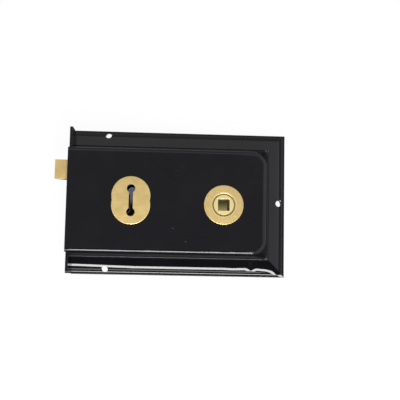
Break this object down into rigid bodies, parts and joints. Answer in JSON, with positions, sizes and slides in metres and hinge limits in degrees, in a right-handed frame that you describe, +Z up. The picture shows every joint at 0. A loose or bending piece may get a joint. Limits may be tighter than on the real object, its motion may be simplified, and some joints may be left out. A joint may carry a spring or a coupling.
{
  "type": "rim box lock",
  "caption": "Flanged rim lock for a door's face: pressed case, sprung latch and sliding dead bolt through the forend, round-ended keyhole and square spindle follower.",
  "frame": {"origin": "centre of the lock's outline, 152.4 x 101.6 mm, on the cap's back face, which lies on the door", "axes": "+X away from the bolts, along the lock's length; +Y into the door; +Z up"},
  "size_m": [0.1616, 0.0318, 0.1016],
  "materials": {
    "black_enamel": "stoved gloss black",
    "brass": "lightly brushed",
    "steel": "mill finish, oiled",
    "zinc_steel": "bright zinc plated",
    "spring_steel": "oil tempered"
  },
  "bodies": {
    "lock_case": {"case": "black_enamel", "forend": "black_enamel", "cap": "black_enamel", "keyhole_bush": "brass", "follower_rose": "brass", "upper_pillar": "steel", "lower_pillar": "steel", "rear_pillar": "steel", "spring_peg": "steel", "ward_front": "steel", "ward_back": "steel", "cap_screws": "zinc_steel", "detent_post": "steel", "detent_spring": "spring_steel", "latch_spring": "spring_steel"},
    "latch": {"latch_head": "brass", "latch_tail": "steel", "latch_rivets": "steel"},
    "deadbolt": {"deadbolt_head": "brass", "deadbolt_tail": "steel", "deadbolt_rivets": "steel"},
    "spindle_follower": {"follower": "brass"}
  },
  "joints": [
    {"name": "follower_turn", "type": "hinge", "parent": "lock_case", "child": "spindle_follower", "pos_m": [0.0312, -0.01, -0.00185], "axis": [0, 1, 0], "range_deg": [0, 44]},
    {"name": "latch_slide", "type": "slide", "parent": "lock_case", "child": "latch", "axis": [1, 0, 0], "range_m": [0, 0.01049], "stiffness_N_per_m": 350, "springref_m": -0.012, "deforming": ["latch_spring"]},
    {"name": "deadbolt_slide", "type": "slide", "parent": "lock_case", "child": "deadbolt", "axis": [-1, 0, 0], "range_m": [0, 0.012], "deforming": ["detent_spring"]}
  ],
  "couplings": [
    {"joint": "follower_turn", "follows": "latch_slide", "rad_per_m": 73.214}
  ]
}
